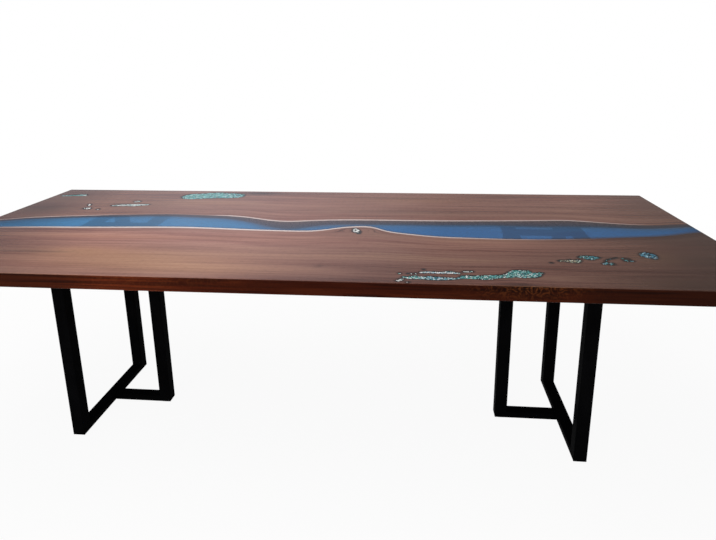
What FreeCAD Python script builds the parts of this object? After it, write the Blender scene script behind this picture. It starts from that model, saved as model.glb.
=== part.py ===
import FreeCAD, Part
import math
import os

# River table: two live-edge walnut slabs joined by a cast river of blue resin, with
# crushed-stone fills in the wood's natural voids, on two welded steel T-legs.
# Frame: +X along the table, +Y from the near long edge to the far one, +Z up.
# The origin is on the floor, under the centre of the top. Lengths are in millimetres.

Vec = FreeCAD.Vector
UP = Vec(0, 0, 1)

# Top
table_length = 2640.0
table_width = 1066.0
table_height = 762.0
top_thickness = 45.0
edge_round = 2.5
corner_round = 6.0
cut_overrun = 10.0

# Leg frames: square uprights on flat rectangular floor tubes
leg_setback = 413.0
leg_depth = 504.0
leg_reach = 278.0
upright_side = 45.0
floor_tube_height = 25.0
tube_wall = 3.0
tube_outer_corner = 4.0
tube_inner_corner = 1.0
mitre_round = 5.0

# Flat bars that are welded across the uprights and carry the top
bar_thickness = 8.0
bar_corner = 6.0
outer_bar_overhang = 88.0
outer_bar_width = 50.0
inner_bar_length = 430.0
inner_bar_width = 50.0
link_bar_width = 50.0

# Bolts through slots in the bars, into threaded inserts in the slabs
bolt_diameter = 8.0
bolt_length = 30.0
bolt_head_flats = 13.0
bolt_head_height = 5.5
bolt_chamfer = 0.8
washer_diameter = 20.0
washer_thickness = 1.6
slot_width = 9.0
slot_length = 20.0
insert_diameter = 12.0
insert_length = 20.0
bolt_end_margin = 30.0
bolt_upright_gap = 52.0
bolt_tip_room = 5.0
bolt_clearance = 0.1
insert_clearance = 0.05

# Glide pads under the floor tubes
glide_thickness = 3.0
glide_side = 32.0
glide_corner = 5.0
glide_inset = 6.0

# Stone fills
fill_depth = 12.0

# Places worked out from the sizes above
half_length = table_length / 2
half_width = table_width / 2
top_underside = table_height - top_thickness
bar_underside = top_underside - bar_thickness
floor_tube_base = glide_thickness
leg_x = half_length - leg_setback
inner_x = leg_x - (leg_reach - upright_side)
outer_bar_length = leg_depth + 2 * outer_bar_overhang

# Front live edge: along the half length, across the width, and how far across it has
# moved by the underside, as shares of the half length, the width and the width
front_edge_shares = (
    (-1.000, -0.089, 0.006),
    (-0.833, -0.074, 0.010),
    (-0.682, -0.065, 0.012),
    (-0.530, -0.054, 0.014),
    (-0.379, -0.047, 0.017),
    (-0.227, -0.059, 0.014),
    (-0.091, -0.068, 0.010),
    (0.000, -0.054, 0.010),
    (0.047, -0.024, 0.012),
    (0.095, -0.006, 0.012),
    (0.138, -0.013, 0.014),
    (0.174, -0.050, 0.018),
    (0.227, -0.079, 0.020),
    (0.303, -0.104, 0.020),
    (0.379, -0.113, 0.018),
    (0.492, -0.119, 0.014),
    (0.606, -0.114, 0.012),
    (0.720, -0.097, 0.010),
    (0.833, -0.075, 0.010),
    (0.886, -0.062, 0.009),
    (0.924, -0.046, 0.008),
    (0.962, -0.027, 0.006),
    (1.000, -0.013, 0.005),
)

# Rear live edge, in the same terms
rear_edge_shares = (
    (-1.000, -0.003, 0.008),
    (-0.909, 0.030, 0.010),
    (-0.795, 0.061, 0.012),
    (-0.682, 0.085, 0.012),
    (-0.568, 0.103, 0.008),
    (-0.489, 0.112, 0.005),
    (-0.379, 0.105, 0.000),
    (-0.303, 0.098, -0.004),
    (-0.227, 0.076, -0.018),
    (-0.167, 0.047, -0.034),
    (-0.110, 0.035, -0.056),
    (-0.076, 0.040, -0.062),
    (-0.038, 0.050, -0.036),
    (0.038, 0.063, -0.014),
    (0.152, 0.068, -0.022),
    (0.303, 0.070, -0.034),
    (0.455, 0.080, -0.034),
    (0.606, 0.094, -0.047),
    (0.682, 0.099, -0.050),
    (0.758, 0.083, -0.030),
    (0.833, 0.064, -0.015),
    (0.886, 0.061, -0.010),
    (0.947, 0.071, -0.006),
    (1.000, 0.080, -0.004),
)

# Each fill is a run of stations: along the half length, across the width, and the
# fill's half width there, as shares of the half length, the width and the width
long_crack_shares = (
    ((0.2240, -0.4580, 0.0033), (0.2300, -0.4600, 0.0056), (0.2375, -0.4625, 0.0084),
     (0.2490, -0.4590, 0.0122), (0.2640, -0.4610, 0.0094), (0.2790, -0.4610, 0.0122),
     (0.2965, -0.4625, 0.0122), (0.3115, -0.4630, 0.0103), (0.3225, -0.4620, 0.0084),
     (0.3345, -0.4610, 0.0056), (0.3435, -0.4580, 0.0056), (0.3515, -0.4505, 0.0103),
     (0.3625, -0.4480, 0.0122), (0.3775, -0.4490, 0.0122), (0.3910, -0.4490, 0.0150),
     (0.4040, -0.4470, 0.0150), (0.4155, -0.4440, 0.0131), (0.4250, -0.4400, 0.0113),
     (0.4380, -0.4360, 0.0122), (0.4480, -0.4310, 0.0150), (0.4570, -0.4240, 0.0206),
     (0.4675, -0.4180, 0.0272), (0.4810, -0.4170, 0.0281), (0.4935, -0.4190, 0.0253),
     (0.5015, -0.4225, 0.0197), (0.5100, -0.4180, 0.0131), (0.5175, -0.4095, 0.0075),
     (0.5230, -0.4045, 0.0028)),
    ((0.2615, -0.4230, 0.0038), (0.2720, -0.4220, 0.0066), (0.2835, -0.4210, 0.0056),
     (0.2965, -0.4210, 0.0070), (0.3100, -0.4220, 0.0066), (0.3215, -0.4185, 0.0094),
     (0.3320, -0.4200, 0.0080), (0.3420, -0.4230, 0.0056), (0.3480, -0.4220, 0.0028)),
    ((0.3540, -0.4120, 0.0038), (0.3615, -0.4100, 0.0056), (0.3705, -0.4090, 0.0052),
     (0.3765, -0.4065, 0.0028)),
    ((0.2155, -0.4345, 0.0023), (0.2185, -0.4340, 0.0042), (0.2215, -0.4340, 0.0023)),
    ((0.2335, -0.4340, 0.0019), (0.2358, -0.4340, 0.0038), (0.2381, -0.4340, 0.0019)),
    ((0.2411, -0.4335, 0.0019), (0.2437, -0.4335, 0.0042), (0.2464, -0.4335, 0.0019)),
    ((0.2494, -0.4325, 0.0023), (0.2525, -0.4325, 0.0047), (0.2555, -0.4325, 0.0023)),
    ((0.2680, -0.4010, 0.0019), (0.2703, -0.4000, 0.0038), (0.2726, -0.4000, 0.0019)),
    ((0.2118, -0.4865, 0.0038), (0.2171, -0.4820, 0.0056), (0.2216, -0.4770, 0.0075),
     (0.2254, -0.4715, 0.0028)),
    ((0.2318, -0.4925, 0.0023), (0.2356, -0.4930, 0.0033), (0.2394, -0.4916, 0.0019)),
)
right_knot_shares = (
    ((0.5540, -0.3300, 0.0023), (0.5562, -0.3275, 0.0047), (0.5585, -0.3255, 0.0023)),
    ((0.5740, -0.3116, 0.0028), (0.5830, -0.3080, 0.0056), (0.5920, -0.3107, 0.0084),
     (0.6025, -0.3088, 0.0131), (0.6115, -0.3135, 0.0122), (0.6200, -0.3041, 0.0084),
     (0.6252, -0.2947, 0.0028)),
    ((0.6257, -0.2789, 0.0038), (0.6333, -0.2742, 0.0103), (0.6454, -0.2779, 0.0178),
     (0.6545, -0.2789, 0.0178), (0.6636, -0.2760, 0.0113), (0.6742, -0.2760, 0.0038)),
    ((0.6682, -0.3311, 0.0028), (0.6750, -0.3236, 0.0084), (0.6841, -0.3246, 0.0094),
     (0.6924, -0.3274, 0.0047)),
    ((0.6765, -0.3068, 0.0014), (0.6833, -0.2974, 0.0028), (0.6924, -0.2871, 0.0028),
     (0.7030, -0.2814, 0.0023), (0.7121, -0.2730, 0.0014)),
    ((0.7197, -0.2861, 0.0014), (0.7250, -0.2786, 0.0028), (0.7318, -0.2786, 0.0023),
     (0.7379, -0.2842, 0.0014)),
    ((0.7212, -0.3011, 0.0038), (0.7280, -0.2964, 0.0084), (0.7356, -0.2974, 0.0066),
     (0.7417, -0.3021, 0.0028)),
    ((0.7727, -0.2580, 0.0075), (0.7803, -0.2523, 0.0225), (0.7902, -0.2523, 0.0310),
     (0.7985, -0.2486, 0.0263), (0.8068, -0.2486, 0.0094)),
)
edge_knot_shares = (
    ((0.0894, -0.0300, 0.0028), (0.0917, -0.0413, 0.0094), (0.0947, -0.0553, 0.0131),
     (0.0992, -0.0713, 0.0122), (0.1038, -0.0835, 0.0066), (0.1053, -0.0910, 0.0028)),
)
rear_pocket_shares = (
    ((-0.5409, 0.4062, 0.0094), (-0.5318, 0.4024, 0.0319), (-0.5167, 0.3968, 0.0450),
     (-0.4962, 0.3959, 0.0488), (-0.4758, 0.4024, 0.0488), (-0.4545, 0.4118, 0.0507),
     (-0.4333, 0.4174, 0.0516), (-0.4106, 0.4174, 0.0488), (-0.3879, 0.4156, 0.0460),
     (-0.3682, 0.4137, 0.0432), (-0.3485, 0.4081, 0.0375), (-0.3348, 0.3959, 0.0188)),
)
rear_streak_shares = (
    ((-0.7240, 0.2270, 0.0045), (-0.7045, 0.2300, 0.0130), (-0.6780, 0.2370, 0.0150),
     (-0.6440, 0.2400, 0.0165), (-0.6175, 0.2460, 0.0085), (-0.6050, 0.2485, 0.0040)),
    ((-0.6745, 0.2900, 0.0040), (-0.6650, 0.2965, 0.0100), (-0.6530, 0.2990, 0.0040)),
)
rear_corner_shares = (
    ((-0.7960, 0.1800, 0.0040), (-0.7825, 0.1785, 0.0130), (-0.7700, 0.1750, 0.0040)),
    ((-0.8060, 0.2450, 0.0030), (-0.8015, 0.2330, 0.0065), (-0.7970, 0.2200, 0.0030)),
    ((-0.7440, 0.1760, 0.0030), (-0.7420, 0.1690, 0.0060), (-0.7400, 0.1610, 0.0030)),
    ((-0.9750, 0.3860, 0.0030), (-0.9350, 0.3900, 0.0095), (-0.8850, 0.3950, 0.0035)),
)


def block(x0, x1, y0, y1, z0, z1):
    """A box between two corners."""
    return Part.makeBox(x1 - x0, y1 - y0, z1 - z0, Vec(x0, y0, z0))


def prism(points, travel):
    """A closed polygon pushed along a vector."""
    face = Part.Face(Part.makePolygon(list(points) + [points[0]]))
    return face.extrude(travel)


def rounded_rectangle(width, depth, radius):
    """A wire about the Z axis, of four lines and four quarter arcs."""
    x, y = width / 2, depth / 2
    corners = ((x - radius, y - radius, 0), (radius - x, y - radius, 90),
               (radius - x, radius - y, 180), (x - radius, radius - y, 270))
    arcs = [Part.makeCircle(radius, Vec(cx, cy, 0), UP, start, start + 90)
            for cx, cy, start in corners]
    edges = []
    for arc, following in zip(arcs, arcs[1:] + arcs[:1]):
        edges += [arc, Part.makeLine(arc.Vertexes[-1].Point, following.Vertexes[0].Point)]
    return Part.Wire(edges)


def plate(width, depth, thickness, radius):
    """A flat rounded plate with its lower face centred on the origin."""
    return Part.Face(rounded_rectangle(width, depth, radius)).extrude(UP * thickness)


def tube(width, depth, length):
    """A hollow rounded tube that stands on the origin."""
    outer = plate(width, depth, length, tube_outer_corner)
    inner = plate(width - 2 * tube_wall, depth - 2 * tube_wall, length, tube_inner_corner)
    return outer.cut(inner)


def spans_of(curve, stations):
    """A smooth curve cut at its stations, so that each face along it has a single span."""
    spans = []
    for start, end in zip(stations, stations[1:]):
        span = curve.copy()
        span.segment(start, end)
        spans.append(span.toShape())
    return spans


def edge_spans(shares, z):
    """The live edge at one height: one smooth curve that runs past both ends, in spans."""
    overshoot = 1.0 + cut_overrun / half_length
    rows = [(-overshoot,) + shares[0][1:], *shares, (overshoot,) + shares[-1][1:]]
    depth_share = (table_height - z) / top_thickness
    points = [Vec(along * half_length, (across + shift * depth_share) * table_width, z)
              for along, across, shift in rows]
    stations = [row[0] for row in rows]
    curve = Part.BSplineCurve()
    curve.interpolate(Points=points, Parameters=stations)
    return spans_of(curve, stations)


def slab_region(shares, side):
    """All that lies on one side of a live edge: side is -1 for the front slab, 1 for the rear."""
    outer_y = side * (half_width + cut_overrun)
    end_x = half_length + cut_overrun
    wires = []
    for z in (top_underside - cut_overrun, table_height + cut_overrun):
        spans = edge_spans(shares, z)
        start, end = spans[0].Vertexes[0].Point, spans[-1].Vertexes[-1].Point
        right, left = Vec(end_x, outer_y, z), Vec(-end_x, outer_y, z)
        wires.append(Part.Wire([*spans, Part.makeLine(end, right), Part.makeLine(right, left),
                                Part.makeLine(left, start)]))
    return Part.makeLoft(wires, True, True)


def whole_top():
    """The top as one block with eased edges and corners, before it is divided."""
    top = block(-half_length, half_length, -half_width, half_width, top_underside, table_height)
    upright_edges = [e for e in top.Edges if abs(e.Vertexes[0].Z - e.Vertexes[-1].Z) > edge_round]
    top = top.makeFillet(corner_round, upright_edges)
    rim = [e for e in top.Edges if abs(e.BoundBox.ZMax - e.BoundBox.ZMin) < edge_round]
    return top.makeFillet(edge_round, rim)


def fill_outline(stations):
    """A closed smooth outline round one run of stations, blunt at its ends."""
    places = [Vec(a * half_length, b * table_width, 0) for a, b, _ in stations]
    halves = [share * table_width for _, _, share in stations]
    left, right = [], []
    for i, (place, half) in enumerate(zip(places, halves)):
        before = places[max(i - 1, 0)]
        after = places[min(i + 1, len(places) - 1)]
        heading = (after - before).normalize()
        across = Vec(-heading.y, heading.x, 0)
        left.append(place + across * half)
        right.append(place - across * half)
    curve = Part.BSplineCurve()
    curve.interpolate(Points=left + right[::-1], PeriodicFlag=True)
    return Part.Wire(spans_of(curve, curve.getKnots()))


def fill_solids(runs, top_z):
    """The fills of one group, as prisms up to top_z."""
    solids = []
    for stations in runs:
        face = Part.Face(fill_outline(stations))
        face.translate(UP * (table_height - fill_depth))
        solids.append(face.extrude(UP * (top_z - table_height + fill_depth)))
    return solids


def bolt_places(side):
    """Bolt axes of one leg: two at each end of the outer bar, and one at each end of the inner."""
    end = outer_bar_length / 2 - bolt_end_margin
    middle = leg_depth / 2 - upright_side - bolt_upright_gap
    short_end = inner_bar_length / 2 - bolt_end_margin
    places = [(side * leg_x, y) for y in (-end, -middle, middle, end)]
    return places + [(side * inner_x, y) for y in (-short_end, short_end)]


def insert_bores():
    """Blind bores in the underside, one for each insert, with room for the bolt's tip."""
    tip = bolt_length - washer_thickness - bar_thickness
    depth = max(insert_length, tip) + bolt_tip_room
    radius = insert_diameter / 2 + insert_clearance
    start = top_underside - cut_overrun
    return [Part.makeCylinder(radius, depth + cut_overrun, Vec(x, y, start), UP)
            for side in (-1, 1) for x, y in bolt_places(side)]


def hollowed(piece, tools):
    """One piece of the top, less the pockets and bores that reach it."""
    for tool in tools:
        if piece.BoundBox.intersect(tool.BoundBox):
            piece = piece.cut(tool)
    return piece


def mitre_waste(reach):
    """One side of the mitre of a tube corner that has its outer bottom edge on the Y axis and
    runs along +X: what lies above the mitre where reach is positive, and below where not."""
    slope = floor_tube_height / upright_side
    low, high = -cut_overrun, upright_side + cut_overrun
    depth = upright_side + 2 * cut_overrun
    line = [Vec(low, -depth / 2, slope * low), Vec(high, -depth / 2, slope * high)]
    return prism(line + [point + UP * reach for point in reversed(line)], Vec(0, depth, 0))


def corner_waste():
    """What grinding takes off the outer bottom edge of a mitred corner."""
    depth = upright_side + 2 * cut_overrun
    square = block(-cut_overrun, mitre_round, -depth / 2, depth / 2, -cut_overrun, mitre_round)
    centre = Vec(mitre_round, -depth / 2, mitre_round)
    return square.cut(Part.makeCylinder(mitre_round, depth, centre, Vec(0, 1, 0)))


def placed(shape, x, y, turn):
    """A corner tool, turned about Z and moved to the outer bottom edge of a corner."""
    moved = shape.copy()
    moved.rotate(Vec(0, 0, 0), UP, turn)
    moved.translate(Vec(x, y, floor_tube_base))
    return moved


def leg_corners(side):
    """The three mitred corners of a leg: outer edge x and y, and the turn of the tools."""
    return {
        "front": (side * leg_x, -leg_depth / 2, 90),
        "rear": (side * leg_x, leg_depth / 2, -90),
        "inner": (side * (inner_x - upright_side / 2), 0, 0 if side > 0 else 180),
    }


def inwards(turn, distance):
    """A step into the leg from a corner's outer edge."""
    return Vec(distance * math.cos(math.radians(turn)), distance * math.sin(math.radians(turn)), 0)


def upright(side, corner):
    """One vertical tube, mitred at the floor."""
    x, y, turn = leg_corners(side)[corner]
    post = tube(upright_side, upright_side, bar_underside - floor_tube_base)
    post.translate(Vec(x, y, floor_tube_base) + inwards(turn, upright_side / 2))
    below = mitre_waste(-floor_tube_height - cut_overrun)
    return post.cut(placed(below, x, y, turn)).cut(placed(corner_waste(), x, y, turn))


def lying_tube(length):
    """A floor tube that runs along +X from the origin, at the floor tubes' height."""
    bar = tube(floor_tube_height, upright_side, length)
    bar.rotate(Vec(0, 0, 0), Vec(0, 1, 0), 90)
    bar.translate(Vec(0, 0, floor_tube_base + floor_tube_height / 2))
    return bar


def mitred_foot(bar, side, corners):
    """A floor tube less its waste at each mitred corner."""
    above = mitre_waste(floor_tube_height + cut_overrun)
    for corner in corners:
        place = leg_corners(side)[corner]
        bar = bar.cut(placed(above, *place)).cut(placed(corner_waste(), *place))
    return bar


def cross_foot(side):
    """The floor tube between the front and rear uprights."""
    bar = lying_tube(leg_depth)
    bar.rotate(Vec(0, 0, 0), UP, 90)
    bar.translate(Vec(side * leg_x, -leg_depth / 2, 0))
    return mitred_foot(bar, side, ("front", "rear"))


def stub_foot(side):
    """The floor tube from the cross foot's side to the inner upright."""
    bar = lying_tube(leg_reach - upright_side)
    bar.rotate(Vec(0, 0, 0), UP, 180 if side > 0 else 0)
    bar.translate(Vec(side * (leg_x - upright_side / 2), 0, 0))
    return mitred_foot(bar, side, ("inner",))


def obround(width, length, height):
    """A slot cutter, long across the table, with its lower face centred on the origin."""
    reach = (length - width) / 2
    middle = block(-width / 2, width / 2, -reach, reach, 0, height)
    ends = [Part.makeCylinder(width / 2, height, Vec(0, y, 0), UP) for y in (-reach, reach)]
    return middle.fuse(ends)


def slots(side):
    """Slotted holes for the bolts, long across the table so that the wood can move."""
    cutter = obround(slot_width, slot_length, bar_thickness + 2 * cut_overrun)
    return [cutter.translated(Vec(x, y, bar_underside - cut_overrun)) for x, y in bolt_places(side)]


def top_bar(side, centre_x, width, length):
    """A flat bar across the table, with its slots."""
    bar = plate(width, length, bar_thickness, bar_corner)
    bar.translate(Vec(side * centre_x, 0, bar_underside))
    return hollowed(bar, slots(side))


def link_bar(side):
    """The flat bar that joins the outer and inner bars along the table."""
    ends = sorted((side * (leg_x - outer_bar_width / 2), side * (inner_x + inner_bar_width / 2)))
    half = link_bar_width / 2
    return block(*ends, -half, half, bar_underside, top_underside)


def leg_bolt():
    """A hexagon-head bolt that stands on the origin, with its head's lower rim and its tip
    chamfered."""
    corner_radius = bolt_head_flats / 2 / math.cos(math.radians(30))
    rim_radius = corner_radius - bolt_chamfer
    angles = [math.radians(60 * k) for k in range(6)]
    hexagon = prism([Vec(math.cos(a), math.sin(a), 0) * corner_radius for a in angles],
                    UP * bolt_head_height)
    head = hexagon.common(Part.makeCone(rim_radius, rim_radius + bolt_head_height, bolt_head_height))
    shank_end = bolt_head_height + bolt_length - bolt_chamfer
    shank = Part.makeCylinder(bolt_diameter / 2, shank_end - bolt_head_height,
                              Vec(0, 0, bolt_head_height))
    tip = Part.makeCone(bolt_diameter / 2, bolt_diameter / 2 - bolt_chamfer, bolt_chamfer,
                        Vec(0, 0, shank_end))
    return head.fuse([shank, tip]).removeSplitter()


def at_bolts(shape, side, z):
    """A copy of a fastener at each bolt axis of a leg."""
    return Part.makeCompound([shape.translated(Vec(x, y, z)) for x, y in bolt_places(side)])


def ring(outer_diameter, hole_diameter, height):
    """A plain ring that stands on the origin."""
    return Part.makeCylinder(outer_diameter / 2, height).cut(
        Part.makeCylinder(hole_diameter / 2, height))


def glides(side):
    """Pads under the three ends of the floor tubes, clear of the ground corners."""
    back_off = mitre_round + glide_inset + glide_side / 2
    pad = plate(glide_side, glide_side, glide_thickness, glide_corner)
    return Part.makeCompound([pad.translated(Vec(x, y, 0) + inwards(turn, back_off))
                              for x, y, turn in leg_corners(side).values()])


def build_top():
    """The slabs, the river and the stone fills."""
    front_region = slab_region(front_edge_shares, -1)
    rear_region = slab_region(rear_edge_shares, 1)
    groups = {
        "long_crack_fill": long_crack_shares,
        "right_knot_fills": right_knot_shares,
        "edge_knot_fill": edge_knot_shares,
        "rear_pocket_fill": rear_pocket_shares,
        "rear_streak_fill": rear_streak_shares,
        "rear_corner_fills": rear_corner_shares,
    }
    tools = insert_bores()
    for runs in groups.values():
        tools += fill_solids(runs, table_height + cut_overrun)
    nodes = {
        "front_slab": hollowed(whole_top().common(front_region), tools),
        "rear_slab": hollowed(whole_top().common(rear_region), tools),
        "river_resin": hollowed(whole_top().cut(front_region).cut(rear_region), tools),
    }
    for name, runs in groups.items():
        nodes[name] = Part.makeCompound(fill_solids(runs, table_height))
    return nodes


def build_leg(name, side):
    """One leg frame with its fasteners and glides."""
    head_top = bar_underside - washer_thickness
    bolt_hole = bolt_diameter + 2 * bolt_clearance
    washer = ring(washer_diameter, bolt_hole, washer_thickness)
    insert = ring(insert_diameter, bolt_hole, insert_length)
    return {
        f"{name}_front_upright": upright(side, "front"),
        f"{name}_rear_upright": upright(side, "rear"),
        f"{name}_inner_upright": upright(side, "inner"),
        f"{name}_cross_foot": cross_foot(side),
        f"{name}_stub_foot": stub_foot(side),
        f"{name}_outer_top_bar": top_bar(side, leg_x, outer_bar_width, outer_bar_length),
        f"{name}_inner_top_bar": top_bar(side, inner_x, inner_bar_width, inner_bar_length),
        f"{name}_link_bar": link_bar(side),
        f"{name}_leg_bolts": at_bolts(leg_bolt(), side, head_top - bolt_head_height),
        f"{name}_leg_washers": at_bolts(washer, side, head_top),
        f"{name}_leg_inserts": at_bolts(insert, side, top_underside),
        f"{name}_foot_glides": glides(side),
    }


def main():
    nodes = {**build_top(), **build_leg("left", -1), **build_leg("right", 1)}
    os.makedirs("parts", exist_ok=True)
    for name, shape in nodes.items():
        shape.exportStep(f"parts/{name}.step")
        print(name, len(shape.Solids), shape.isValid(), round(shape.Volume / 1000, 2), "cm3")


main()
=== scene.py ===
"""River table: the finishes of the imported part, its stone chips and weld beads, and a plain studio.

Lengths are in metres, in the part's own frame: +X along the table, +Y from the near long edge to
the far one, +Z up, with the origin on the floor under the centre of the top.
"""

import math

import bmesh
import bpy
import numpy as np
from mathutils import Matrix, Vector


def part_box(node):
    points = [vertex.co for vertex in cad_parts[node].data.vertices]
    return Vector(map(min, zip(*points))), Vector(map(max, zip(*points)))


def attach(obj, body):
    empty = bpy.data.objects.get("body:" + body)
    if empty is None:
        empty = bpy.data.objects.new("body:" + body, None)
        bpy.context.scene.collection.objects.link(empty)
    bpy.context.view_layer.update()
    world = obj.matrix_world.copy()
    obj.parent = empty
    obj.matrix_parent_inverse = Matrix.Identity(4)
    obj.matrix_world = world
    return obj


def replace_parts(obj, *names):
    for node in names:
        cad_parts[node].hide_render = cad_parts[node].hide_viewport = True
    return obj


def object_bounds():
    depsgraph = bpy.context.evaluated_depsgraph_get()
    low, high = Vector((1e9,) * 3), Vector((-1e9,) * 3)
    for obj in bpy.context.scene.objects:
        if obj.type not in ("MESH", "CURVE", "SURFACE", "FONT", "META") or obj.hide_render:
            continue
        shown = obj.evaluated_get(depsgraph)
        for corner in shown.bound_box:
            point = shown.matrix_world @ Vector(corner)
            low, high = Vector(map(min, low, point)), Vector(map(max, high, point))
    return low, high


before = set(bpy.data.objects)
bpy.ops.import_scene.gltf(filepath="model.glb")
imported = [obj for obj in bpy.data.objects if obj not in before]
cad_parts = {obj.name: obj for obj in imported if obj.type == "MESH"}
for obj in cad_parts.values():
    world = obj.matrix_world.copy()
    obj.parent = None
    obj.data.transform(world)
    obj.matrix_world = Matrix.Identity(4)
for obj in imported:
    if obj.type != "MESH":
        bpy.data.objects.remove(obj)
cad_low, cad_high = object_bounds()

# Sizes read from the frame
half_length = cad_high[0]
half_width = cad_high[1]
top_z = cad_high[2]
slab_low, slab_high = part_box("front_slab")
top_thickness = slab_high[2] - slab_low[2]
underside_z = top_z - top_thickness

# Slicing: the spacing of the planes through the slabs and through the river, and the closer one
# round a fill, out to a margin. Then the gap within which corners merge, and the angle from
# which an edge is sharp.
slice_step = 0.020
river_slice_step = 0.010
fine_step = 0.005
fine_margin = 0.015
merge_gap = 1e-6
crease_angle = math.radians(35)

# What tells faces apart, as parts of a unit normal: how far a flat face points up or down, how
# far the wall of a live edge points along Y, the most that it points along Z and along X, the
# most that the wall of a fill points along Z, how far a face that is square to an axis points
# along it, and how far up the sanded faces point
flat_normal = 0.99
wall_normal = 0.5
wall_most_z = 0.9
wall_most_x = 0.85
fill_wall_most_z = 0.5
square_normal = 0.999
sanded_normal = 0.3

# Wood: the rounding of the top's edges, the distance over which the grain stops following a live
# edge, the sapwood line and its soft side, the bark round a fill and where it is darkest, how
# sharply the grain turns over at a knot and how tight the knot is, and the least and the most
# that patches scale the tone by
edge_round = 0.0025
flow_fade = 0.150
sapwood_width = 0.016
sapwood_blur = 0.006
bark_width = 0.008
bark_core = 0.0005
knot_turn = 2.5
knot_core = 2
least_shade = 0.1
most_shade = 2

# River: how far its lower rims reach into the slabs
river_overlap = 0.0005

# Fills: how far the resin between the chips lies under the top, and the flat tops' tolerance
pool_drop = 0.0004
top_tolerance = 1e-4

# Stone chips: their depth in the resin, their bevel and their number of corners, and each ring's
# size, as a share of the chip's, with its depth
chip_embed = 0.0020
chip_bevel = 0.0004
chip_sides = 7
chip_rings = ((0.86, 0), (1.0, chip_bevel), (0.8, chip_embed))
chip_corners = chip_sides * len(chip_rings)

# How chips vary. Shares of their spacing: how far a centre is shaken, and the least and the most
# that a chip reaches. Shares of that reach: the least and the most that a corner does, and that
# the whole chip is stretched to along the table. Then the share of the angle between corners
# that one may turn by, the share of pool_drop that a chip may lie low, and the hue's spread.
shake_share = 0.28
reach_shares = (0.34, 0.62)
uneven_shares = (0.75, 1.15)
stretch_shares = (0.9, 1.5)
turn_share = 0.3
low_share = 0.5
hue_spread = 0.15

# Weld beads: their legs, the spacing of their ripples, how far they swell there and how far
# their faces dip, the points across a face and along a ripple, and the tubes' outer corners
bead_leg = 0.0035
bead_ripple = 0.0030
swell_share = 0.12
dip_share = 0.25
bead_points = 5
ripple_points = 5
tube_corner = 0.004


def linear(hex_colour):
    """An sRGB hex colour as the linear RGBA that a shader takes."""
    channels = [int(hex_colour[i:i + 2], 16) / 255 for i in (0, 2, 4)]
    return [c / 12.92 if c <= 0.04045 else ((c + 0.055) / 1.055) ** 2.4 for c in channels] + [1.0]


def add(tree, kind, links=None, stops=None, **settings):
    """Adds one node with its settings. links gives each socket a value, a socket to read or a
    node whose first live output it reads, and stops are a ramp's places and hex colours. Sockets
    that share a name go by number: on a colour Mix, 0 is the share, 6 the first colour and 7 the
    second."""
    made = tree.nodes.new("ShaderNode" + kind)
    for name, value in settings.items():
        setattr(made, name, value)
    for socket, value in (links or {}).items():
        if isinstance(value, bpy.types.Node):
            value = next(output for output in value.outputs if output.enabled)
        if isinstance(value, bpy.types.NodeSocket):
            tree.links.new(value, made.inputs[socket])
        else:
            made.inputs[socket].default_value = value
    for i, (place, colour) in enumerate(stops or ()):
        elements = made.color_ramp.elements
        stop = elements[i] if i < len(elements) else elements.new(place)
        stop.position = place
        stop.color = linear(colour)
    return made


def new_material(name):
    """An empty material, and its node tree."""
    material = bpy.data.materials.new(name)
    material.use_nodes = True
    material.node_tree.nodes.clear()
    return material, material.node_tree


def surface(tree, links):
    """Ends a material in one principled shader."""
    shader = add(tree, "BsdfPrincipled", links)
    add(tree, "OutputMaterial", {"Surface": shader})


# Working copies


def merged(node):
    """A working copy of a node's mesh, with its doubled corners merged."""
    work = bmesh.new()
    work.from_mesh(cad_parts[node].data)
    bmesh.ops.remove_doubles(work, verts=work.verts, dist=merge_gap)
    return work


def made_mesh(work, name):
    """A working copy as a mesh of its own."""
    mesh = bpy.data.meshes.new(name)
    work.to_mesh(mesh)
    work.free()
    return mesh


def at_places(x, places):
    """The value at each x, straight between listed places."""
    return np.interp(x, *np.transpose(places))


# Live edges


def rim(node, up, across):
    """Where a node's flat face (up is 1 for its top, -1 for its underside) meets the wall that
    faces along Y (across is its sign), as rising X with the Y there."""
    work = merged(node)
    places = {}
    for edge in work.edges:
        normals = [face.normal for face in edge.link_faces]
        flat = any(n.z * up > flat_normal for n in normals)
        wall = any(n.y * across > wall_normal and abs(n.z) < wall_most_z and abs(n.x) < wall_most_x
                   for n in normals)
        if flat and wall:
            places.update({v.co.x: v.co.y for v in edge.verts})
    work.free()
    xs = np.array(sorted(places))
    return xs, np.array([places[x] for x in xs])


river_front_top = rim("river_resin", 1, -1)
river_front_bottom = rim("river_resin", -1, -1)
river_rear_top = rim("river_resin", 1, 1)
river_rear_bottom = rim("river_resin", -1, 1)


def edge_at(top, bottom, x, z):
    """A live edge's Y at each x and height: straight from its top line to its bottom line."""
    share = np.clip((top_z - z) / top_thickness, 0, 1)
    return np.interp(x, *top) * (1 - share) + np.interp(x, *bottom) * share


# Pieces


def finish_piece(name, mesh, material):
    """Links a finished mesh to the scene as a piece of the table."""
    piece = bpy.data.objects.new(name, mesh)
    bpy.context.scene.collection.objects.link(piece)
    mesh.materials.append(material)
    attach(piece, "root")
    return piece


def slice_evenly(work, geometry, low, high, step):
    """Cuts the given geometry by even planes along X and along Y, between two corners."""
    for axis, normal in ((0, (1, 0, 0)), (1, (0, 1, 0))):
        for place in np.arange(low[axis] + step / 2, high[axis], step):
            on_plane = [place if i == axis else 0 for i in range(3)]
            geometry = bmesh.ops.bisect_plane(work, geom=geometry, dist=merge_gap,
                                              plane_co=on_plane, plane_no=normal)["geom"]


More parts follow.
